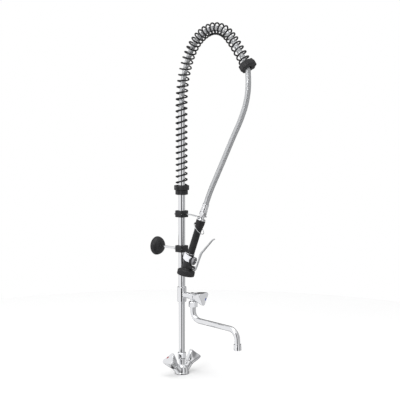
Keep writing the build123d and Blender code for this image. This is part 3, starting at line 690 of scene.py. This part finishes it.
def trefoil(angle):
    """Rounded triangle: flats at a set distance, corners an arc about each lobe's centre."""
    third = TURN / 3
    off = (angle + math.radians(90) + third / 2) % third - third / 2
    from_flat = third / 2 - np.abs(off)
    flat = LOBE_IN / np.cos(from_flat)
    reach = np.sqrt(np.maximum(LOBE_ROUND ** 2 - (LOBE_CENTRE * np.sin(off)) ** 2, 0))
    arc = LOBE_CENTRE * np.cos(off) + reach
    meet = math.atan2(LOBE_CENTRE * math.sin(third / 2), LOBE_IN)
    return np.where(from_flat < meet, flat, arc), np.cos(np.clip(from_flat / meet, 0, 1) * math.pi / 2)


def lobed_handle(name, place, face, node):
    """Handle surface: at each height the smaller of a flaring circle and the rounded triangle, blended
    smoothly, with the flanks dished a little more towards the face and the rims eased."""
    small = face - HANDLE_LEN
    angle = angles(144)[None]
    triangle, dish = trefoil(angle)
    quarter = np.linspace(0, math.pi / 2, 6)
    heights = np.concatenate([0.9 * (1 - np.cos(quarter)), np.linspace(2.5, 34, 24),
                              35.3 + 1.7 * np.sin(quarter)])
    inset = np.concatenate([0.9 * (1 - np.sin(quarter)), np.zeros(24), 1.7 * (1 - np.cos(quarter))])
    flare = np.interp(heights, *FLARE)[:, None]
    sides = triangle - FLANK_DISH * dish * (heights[:, None] / HANDLE_LEN) ** 1.5
    radius = (flare ** -16.0 + sides ** -16.0) ** (-1 / 16.0) - inset[:, None]
    socket = np.full((2, angle.size), SOCKET_R)
    rim = radius[-1:]
    radius = np.concatenate([socket, radius, rim * 0.93, rim * 0.6, rim * 0.3])
    height = np.concatenate([[9.0, 0.0], heights, [37.0, 36.95, 36.9]])[:, None] + small
    mesh = skin(name, turned(place, radius, angle, height))
    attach(dress(mesh, name, [node], sharp=50.0), NODE_BODY[node])


MARK_RADIUS = 10.8
MARK_ANGLE = math.radians(-30)
MARK_LONG = 9.4
MARK_WIDE = 5.0


def slot_outline(long_side, short_side):
    """Oblong with round ends: straight flanks, and an arc about each end's centre."""
    half, reach = short_side / 2, (long_side - short_side) / 2

    def outline(angle):
        c, s = np.abs(np.cos(angle)), np.abs(np.sin(angle))
        end = reach * c + np.sqrt(np.maximum(half ** 2 - (reach * s) ** 2, 0))
        return np.where(s * reach < half * c, end, half / np.maximum(s, 1e-6))
    return outline


def colour_mark(name, place, face, node):
    """Coloured oblong set across the lobe line near one edge of the face."""
    spot = placed(place, MARK_RADIUS * math.cos(MARK_ANGLE), MARK_RADIUS * math.sin(MARK_ANGLE), 0.0)
    turn = math.radians(60)
    mark_place = axes(spot, place[3], math.cos(turn) * place[1] + math.sin(turn) * place[2])
    prism(name, mark_place, slot_outline(MARK_LONG, MARK_WIDE), face - 1.0, face + 0.25, 0.3, [node], around=48)


MIXER_FACE = 86.0
TAP_FACE = 98.5
lobed_handle("hot_lobed_handle", HOT, MIXER_FACE, "hot_handle")
lobed_handle("cold_lobed_handle", COLD, MIXER_FACE, "cold_handle")
lobed_handle("tap_lobed_handle", TAP, TAP_FACE, "tap_handle")
colour_mark("hot_colour_mark", HOT, MIXER_FACE, "hot_index")
colour_mark("cold_colour_mark", COLD, MIXER_FACE, "cold_index")
colour_mark("tap_colour_mark", TAP, TAP_FACE, "tap_index")

# ---------------------------------------------------------------- spout
SPOUT_R = 8.75
spout_x, spout_y = SPOUT_AXIS[0][:2]
SPOUT_BEND = np.array([0, -0.241, 0.1795])
SPOUT_TIP = np.array([0, -0.2445, 0.116])
AERATOR = axes(SPOUT_TIP, SPOUT_BEND - SPOUT_TIP, (1, 0, 0))
spout_line = bent([(spout_x, spout_y, 0.2375), (spout_x, spout_y, 0.1885), SPOUT_BEND,
                   placed(AERATOR, 0, 0, 12.0)], [0.031, 0.033], 0.0015)
spout_points = tube_points(spout_line, np.array([1.0, 0, 0]), SPOUT_R * MM, 56)
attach(dress(skin("spout_swan_tube", spout_points), "spout_swan_tube", ["spout_tube"]), "spout")
lathe("aerator_ring", AERATOR,
      [(10.0, 0), (11.75, 0), (11.75, 13.2), (11.2, 13.9), (11.2, 14.9), (11.75, 15.6), (11.75, 19.6),
       (8.8, 19.6), (8.8, 12.0), (10.0, 12.0)],
      ["aerator_housing"], edge=0.7, closed=True)

# ---------------------------------------------------------------- brackets
for block in ("wall_clamp_front", "wall_clamp_back"):
    softened(block + "_block", block, 0.9 * MM, 3)
for block in ("hook_clamp_front", "hook_clamp_back"):
    softened(block + "_block", block, 0.6 * MM, 3)
softened("clamp_screw_set", "clamp_screws", 0.35 * MM, 2)
DOME = [(3.45, -25), (6, -25), (11, -24.1), (16, -22), (21, -18.6), (25.5, -14.3), (29, -9), (30.7, -4), (31, -1),
        (31, 0), (26, 0), (26, -4.5), (24, -10), (19, -16), (8, -20.5), (3.45, -20.5)]
lathe("wall_dome", TO_WALL, [(radius, WALL_Y + depth) for radius, depth in DOME], ["wall_flange"],
      edge=2.2, closed=True, around=96)
low, high = levels("wall_rod", 1)
lathe("wall_stay_rod", TO_WALL, [(0, low), (3.4, low), (3.4, high), (0, high)], ["wall_rod"],
      edge=0.6, around=40)


def joined(name, meshes):
    """One mesh from several closed ones."""
    work = bmesh.new()
    for mesh in meshes:
        work.from_mesh(mesh)
    whole = bpy.data.meshes.new(name)
    work.to_mesh(whole)
    work.free()
    return whole


FORK_WIRE_R = 2.1
FORK_R = 12.6
PRONG = 11.0
fork_y, fork_z = np.array(JOINTS["gun_swivel"]["pos_m"])[1:] / MM
HOOK_Z = 532.0


def fork():
    """Bar from the clamp to the fork's back, a half round of wire about the gun's neck that runs on
    into two prongs with ball ends, and the boss where bar and wire meet."""
    bar = bent(MM * np.array([(0, -12, HOOK_Z), (0, -40, HOOK_Z), (0, fork_y + FORK_R + 5, fork_z),
                              (0, fork_y + FORK_R + 1, fork_z)]), [0.012, 0.012], 0.001)
    half = np.linspace(0, math.pi, 40)
    arc = np.stack([FORK_R * np.cos(half), fork_y + FORK_R * np.sin(half), np.full(40, fork_z)], -1)
    prong = np.array([[FORK_R, fork_y - PRONG + FORK_WIRE_R, fork_z]])
    wire = MM * np.concatenate([prong, arc, prong * [-1, 1, 1]])
    wire = evened(wire, 0.0008)
    left = np.minimum(run_length(wire), run_length(wire)[-1] - run_length(wire)) / MM
    ball = np.sqrt(np.maximum(1 - (1 - np.minimum(left / FORK_WIRE_R, 1)) ** 2, 0.0))
    bar_points = tube_points(bar, np.array([1.0, 0, 0]), FORK_WIRE_R * MM, 24)
    wire_points = tube_points(wire, np.array([0, 0, 1.0]), MM * FORK_WIRE_R * np.maximum(ball, 0.15), 24)
    boss_axis = axes(MM * np.array([0, fork_y + FORK_R, fork_z]), (0, 1, 0), (0, 0, 1))
    outline = rounded([(0, -1.6), (2.9, -1.6), (2.9, 3.0), (0, 3.0)], 0.7)
    boss = turned(boss_axis, outline[:, :1], angles(32)[None], outline[:, 1:])
    meshes = [skin("bar", bar_points), skin("wire", wire_points), skin("boss", boss)]
    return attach(dress(joined("gun_fork", meshes), "gun_fork", ["hook_wire"]), "stand")


fork()


# ---------------------------------------------------------------- lobed plastic nuts
def lobed(radius, lobes=8, lobe_r=6.0, valley=2.5):
    """Round nut with finger lobes: the larger of a circle and the arcs about the lobes' centres."""
    def outline(angle):
        span = TURN / lobes
        off = (angle + span / 2) % span - span / 2
        centre = radius - lobe_r
        root = lobe_r ** 2 - (centre * np.sin(off)) ** 2
        arc = centre * np.cos(off) + np.sqrt(np.maximum(root, 0))
        arc = np.where(root > 0, arc, 0)
        return (arc ** 24 + (radius - valley) ** 24) ** (1 / 24)
    return outline


FOOT = (595.0, 610.0, 626.0)
END_NUT_R = 26.8


foot_meshes = [block_mesh("collar", BASE, lobed(20.5), FOOT[0], FOOT[1], 1.6, hole=11.05, steps=6),
               block_mesh("flange", BASE, lobed(24.5), FOOT[1], FOOT[2], 2.2, hole=11.05,
                          cup=(20.0, FOOT[1] + 4), steps=6)]
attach(dress(joined("spring_foot_nut", foot_meshes), "spring_foot_nut", ["spring_foot"]), "stand")
END_AT = np.array(ARCH_HOSE[-2])
END_NUT = axes(END_AT, END_AT - np.array(ARCH_HOSE[-3]), (1, 0, 0))
end_mesh = block_mesh("spring_end", END_NUT, lobed(END_NUT_R), -9.8, 10.0, 3.0, hole=9.2, steps=6)
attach(dress(end_mesh, "spring_end_cap", ["spring_end_nut"]), "stand")

# ---------------------------------------------------------------- gun: hose end, collar and grip
lathe("crimped_ferrule", GUN,
      [(8.7, -45), (9.7, -45), (10.4, -44), (10.4, -39.5), (9.8, -38.7), (9.8, -37.7), (10.4, -36.9), (10.4, -33),
       (9.8, -32.2), (9.8, -31.2), (10.4, -30.4), (10.4, -25), (11.2, -24), (11.2, -19), (10.4, -18),
       (10.4, -16.3), (5.6, -16.3), (5.6, -30)],
      ["hose_ferrule"], edge=0.5, closed=True, around=80)
prism("swivel_hex", GUN, hexagon(12.4), -16.0, -6.6, 0.9, ["swivel_nut"], hole=7.05)
lathe("neck_collar", GUN,
      [(7.05, -6.3), (8.0, -6.3), (8.0, 6.2), (8.6, 7), (13.2, 7), (14, 7.8), (14, 11), (7.05, 11)],
      ["gun_collar"], edge=0.5, closed=True, around=80)
RIB_DEPTH = 0.35
RIBS = 18


def grip_ribs(angle, height):
    """Shallow ribs along the grip that fade out at both ends."""
    fade = np.clip((height - 44) / 10, 0, 1) * np.clip((122 - height) / 6, 0, 1)
    return -RIB_DEPTH * fade * (0.5 + 0.5 * np.cos(RIBS * angle)) ** 3


def grip():
    """Moulded sleeve: a turned bell at the top that narrows to a ribbed handle, with the latch lug."""
    outline = [(7.05, 11), (14.0, 11), (14.9, 12), (15, 14), (14.9, 20), (14.6, 25), (13.6, 32), (12.5, 38.5),
               (11.9, 44)]
    outline += [(11.65, h) for h in np.arange(50, 123, 4)] + [(11.6, 125), (7.05, 125)]
    profile = rounded(outline, 0.9, closed=True, steps=3)
    angle = angles(144)[None]
    radius = profile[:, :1] + grip_ribs(angle, profile[:, 1:]) * (profile[:, :1] > 9)
    sleeve = skin("sleeve", turned(GUN, radius, angle, profile[:, 1:]), loop=True)
    lug = axes(placed(GUN, -15.5, 0, 27.0), GUN[2], GUN[1])
    block = block_mesh("lug", lug, slot_outline(6.4, 5.6), -3.4, 3.4, 0.8, 40)
    mesh = joined("grip_sleeve", [sleeve, block])
    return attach(dress(mesh, "grip_sleeve", ["gun_grip"], GRIP_BLACK), "gun")


grip()
softened("trim_band", "trim_ring", 0.4 * MM)

# ---------------------------------------------------------------- gun: body, valve cap, head
cast("gun_body_moulding", "gun_body", 0.0006, 6, BLACK)


def cap_flutes(angle, radius):
    """Fine flutes round the valve cap's side."""
    on_side = np.clip((radius - 12.4) / 0.4, 0, 1)
    return -0.45 * on_side * (0.5 + 0.5 * np.cos(32 * angle)) ** 2


lathe("valve_dome_cap", VALVE,
      [(2.6, 18.6), (11, 18.6), (11, 14.6), (13, 14.6), (13, 22), (11.6, 23.5), (6.2, 23.9), (5, 24.6),
       (5, 25.5), (2.6, 25.5)],
      ["valve_cap"], edge=0.6, closed=True, around=256, ripple=cap_flutes, material=CAP_GREY)
lathe("spray_bell", HEAD,
      [(6.2, 21.6), (14.5, 21.6), (15.4, 23.4), (17.4, 25.4), (21.0, 27.2), (24.4, 29.4), (26.5, 32), (26.5, 43),
       (22.05, 43), (22.05, 36), (6.2, 32)],
      ["spray_housing"], edge=1.2, closed=True, around=96)


def bumper_notches(angle, radius):
    """Small grip notches round the rubber rim's side."""
    on_side = np.clip((radius - 27.8) / 0.6, 0, 1)
    return -0.45 * on_side * (0.5 + 0.5 * np.cos(40 * angle)) ** 4


lathe("rubber_rim", HEAD,
      [(26.55, 31), (28, 31.4), (28.6, 33), (28.6, 36.5), (28.1, 37.2), (28.1, 38), (28.6, 38.7), (28.6, 44.6),
       (27.8, 46.8), (24.6, 47), (23, 45.5), (23, 43.1), (26.55, 43.1)],
      ["bumper"], edge=0.8, closed=True, around=200, ripple=bumper_notches)

# ---------------------------------------------------------------- gun: lever and latch
LEVER_T = 2.2
LEVER_HALF_W = 4.9
LEVER_BENDS = [(31.5, 175), (34.0, 160), (34.6, 137), (36.5, 112), (59, 58), (65, 51)]
LEVER_RADII = (0.008, 0.040, 0.025, 0.006)
GRIP_RIB = 0.28
FLANGE_DEEP = 3.8
OVER_VALVE = 30.0   # length along the lever that lies over the valve cap
FLANGE_T = 1.3


def lever():
    """Pressed strip bent along the lever's line. Its section is a rounded oblong, its ends are round,
    and cross ribs roughen the finger part; a side wall along each edge makes it a channel whose depth
    falls towards the tip and over the valve cap. The pivot's barrel is turned on the hinge."""
    corners = [placed(GUN, x, 0.0, z) for x, z in LEVER_BENDS]
    line = evened(bent(corners, LEVER_RADII, 0.0006), 0.0006)
    along = unit(np.gradient(line, axis=0))
    width_way = np.broadcast_to(GUN[2], line.shape)
    out = np.cross(width_way, along)
    length = run_length(line) / MM
    left = np.minimum(length, length[-1] - length)
    half = LEVER_HALF_W * np.sqrt(np.clip(1 - (1 - np.minimum(left / 4.5, 1)) ** 2, 0.05, 1))
    half = half * (1 - 0.12 * np.clip((length - 15) / 40, 0, 1) * np.clip((95 - length) / 30, 0, 1))
    angle = angles(48)
    across = np.sign(np.cos(angle)) * np.abs(np.cos(angle)) ** 0.35
    thick = np.sign(np.sin(angle)) * np.abs(np.sin(angle)) ** 0.5
    rib = GRIP_RIB * np.cos(TURN * length / 2.6) * (length > length[-1] - 52) * (length < length[-1] - 6)
    ends = np.minimum(left / 1.2 + 0.3, 1)[:, None]
    skin_out = LEVER_T / 2 * thick[None] * ends + np.minimum(rib[:, None], 0) * (thick > 0.5)
    sideways = across[None, :, None] * half[:, None, None] * width_way[:, None]
    points = line[:, None] + MM * (sideways + skin_out[..., None] * out[:, None])
    taper = 1 - 0.75 * np.clip((length - 60) / (length[-1] - 60), 0, 1)
    depth = FLANGE_DEEP * taper * np.minimum(left / 3.0, 1)
    depth = np.minimum(depth, 0.9 + 0.2 * np.maximum(np.abs(length - OVER_VALVE) - 8, 0))
    level = LEVER_T / 2 - 0.3 + depth[:, None] / 2 * (1 + thick)
    edge = np.maximum(half - FLANGE_T / 2, 0.4)
    wall = (across * FLANGE_T / 2)[None, :, None] * width_way[:, None] + level[..., None] * out[:, None]
    walls = [skin("wall", line[:, None] + MM * ((side * edge)[:, None, None] * width_way[:, None] + wall))
             for side in (-1, 1)]
    barrel = rounded([(1.7, -LEVER_HALF_W), (3.6, -LEVER_HALF_W), (3.6, LEVER_HALF_W), (1.7, LEVER_HALF_W)],
                     0.5, closed=True)
    ring = turned(PIVOT, barrel[:, :1], angles(40)[None], barrel[:, 1:])
    web = block_mesh("web", axes(placed(PIVOT, 4.6, 0.0, 0.0), PIVOT[3], PIVOT[1]), slot_outline(6.4, 4.4),
                     -LEVER_HALF_W + 0.4, LEVER_HALF_W - 0.4, 0.5, 40)
    meshes = [skin("strip", points), *walls, skin("barrel", ring, loop=True), web]
    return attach(dress(joined("squeeze_lever", meshes), "squeeze_lever", ["lever"], sharp=45.0), "trigger")


lever()
LATCH_R = 22.0
LATCH_WIRE_R = 1.1
LATCH_TILT = math.radians(34)


def latch():
    """Hold-open ring of round wire, hinged at the lug: a circle of wire tilted down the grip."""
    outward = GUN[1] * math.cos(LATCH_TILT) + GUN[3] * math.sin(LATCH_TILT)
    hinge = np.array(JOINTS["latch_swing"]["pos_m"], float)
    centre = hinge + outward * LATCH_R * MM
    around = angles(96)[:, None]
    radial = np.cos(around) * outward + np.sin(around) * GUN[2]
    normal = np.cross(outward, GUN[2])
    small = angles(14)[None, :, None]
    ring = (LATCH_R + LATCH_WIRE_R * np.cos(small)) * radial[:, None]
    points = centre + MM * (ring + LATCH_WIRE_R * np.sin(small) * normal)
    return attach(dress(skin("latch_wire", points, loop=True), "latch_wire", ["latch_ring"]), "latch")


latch()

# ---------------------------------------------------------------- floor and light
FLOOR_R = 1.6
floor_angle = angles(96)
floor_mesh = bpy.data.meshes.new("floor")
floor_rim = np.stack([FLOOR_R * np.cos(floor_angle), FLOOR_R * np.sin(floor_angle), np.zeros(96)], -1)
floor_mesh.from_pydata(floor_rim.tolist(), [], [list(range(96))])
floor = bpy.data.objects.new("floor", floor_mesh)
bpy.context.scene.collection.objects.link(floor)
floor_paint = bpy.data.materials.new("floor_paint")
floor_paint.use_nodes = True
floor_paint.node_tree.nodes["Principled BSDF"].inputs["Base Color"].default_value = (0.93, 0.93, 0.93, 1)
floor_paint.node_tree.nodes["Principled BSDF"].inputs["Roughness"].default_value = 1.0
floor_paint.node_tree.nodes["Principled BSDF"].inputs["Specular IOR Level"].default_value = 0.0
floor_mesh.materials.append(floor_paint)
floor.visible_glossy = False


def studio():
    """Surroundings: plain white to the eye, white for soft light, and for mirror finishes a bright room
    with a dark strip behind the viewer's place, a dark end opposite, and a grey wall with a paler panel
    on one side. Each stop is a heading in degrees from the viewer, and a grey."""
    world = bpy.data.worlds.new("studio")
    bpy.context.scene.world = world
    world.use_nodes = True
    tree = world.node_tree
    tree.nodes.clear()
    direction = tree.nodes.new("ShaderNodeTexCoord").outputs["Generated"]
    split = tree.nodes.new("ShaderNodeSeparateXYZ")
    tree.links.new(direction, split.inputs[0])
    heading = math_node(tree, "ARCTAN2", split.outputs[1], split.outputs[0])
    viewer = math.atan2(-LEVEL_SIGHT[1], -LEVEL_SIGHT[0])
    turned = math_node(tree, "SUBTRACT", heading, viewer)
    wrapped = math_node(tree, "WRAP", turned, math.pi, -math.pi)
    part = math_node(tree, "ADD", math_node(tree, "MULTIPLY", wrapped, 1 / TURN), 0.5)
    room = tree.nodes.new("ShaderNodeValToRGB")
    stops = [(-180, 0.05), (-162, 0.08), (-150, 0.85), (-110, 1.0), (-22, 1.0), (-18, 0.02), (11, 0.02),
             (16, 0.95), (42, 0.9), (54, 0.28), (74, 0.30), (86, 0.72), (108, 0.72), (120, 0.24), (140, 0.50),
             (160, 0.12), (180, 0.05)]
    elements = room.color_ramp.elements
    while len(elements) < len(stops):
        elements.new(0.5)
    for element, (degrees, grey) in zip(elements, stops):
        element.position = degrees / 360 + 0.5
        element.color = (grey, grey, grey * 1.01, 1)
    tree.links.new(part, room.inputs["Fac"])
    height = math_node(tree, "ARCSINE", split.outputs[2])
    overhead = tree.nodes.new("ShaderNodeMapRange")
    overhead.inputs["From Min"].default_value = math.radians(38)
    overhead.inputs["From Max"].default_value = math.radians(52)
    tree.links.new(height, overhead.inputs["Value"])
    roof = tree.nodes.new("ShaderNodeMix")
    roof.data_type = "RGBA"
    roof.inputs["B"].default_value = (1.0, 1.0, 1.0, 1)
    tree.links.new(overhead.outputs["Result"], roof.inputs["Factor"])
    tree.links.new(room.outputs["Color"], roof.inputs["A"])
    rays = tree.nodes.new("ShaderNodeLightPath")
    mirror = tree.nodes.new("ShaderNodeBackground")
    tree.links.new(roof.outputs["Result"], mirror.inputs["Color"])
    soft = tree.nodes.new("ShaderNodeBackground")
    soft.inputs["Color"].default_value = (1, 1, 1, 1)
    soft.inputs["Strength"].default_value = 0.95
    plain = tree.nodes.new("ShaderNodeBackground")
    plain.inputs["Color"].default_value = (1, 1, 1, 1)
    plain.inputs["Strength"].default_value = 1.0
    glossy = tree.nodes.new("ShaderNodeMixShader")
    seen = tree.nodes.new("ShaderNodeMixShader")
    output = tree.nodes.new("ShaderNodeOutputWorld")
    tree.links.new(rays.outputs["Is Glossy Ray"], glossy.inputs[0])
    tree.links.new(soft.outputs[0], glossy.inputs[1])
    tree.links.new(mirror.outputs[0], glossy.inputs[2])
    tree.links.new(rays.outputs["Is Camera Ray"], seen.inputs[0])
    tree.links.new(glossy.outputs[0], seen.inputs[1])
    tree.links.new(plain.outputs[0], seen.inputs[2])
    tree.links.new(seen.outputs[0], output.inputs[0])


def soft_box(name, spot, aim, size, watts):
    """Square area light at a spot, turned towards a point."""
    data = bpy.data.lights.new(name, "AREA")
    data.energy = watts
    data.shape = "SQUARE"
    data.size = size
    light = bpy.data.objects.new(name, data)
    bpy.context.scene.collection.objects.link(light)
    back = unit(np.array(spot, float) - aim)
    right = unit(np.cross(UP, back))
    matrix = np.eye(4)
    matrix[:3, 0], matrix[:3, 1], matrix[:3, 2], matrix[:3, 3] = right, np.cross(back, right), back, spot
    light.matrix_world = Matrix(matrix.tolist())


studio()
MIDDLE = np.array([0.0, -0.1, 0.6])
soft_box("key", (-2.4, -0.6, 1.9), MIDDLE, 0.7, 14.0)
soft_box("top", (-0.3, -0.3, 2.8), MIDDLE, 1.2, 12.0)
bpy.context.scene.view_settings.view_transform = "Standard"
bpy.context.scene.view_settings.look = "None"
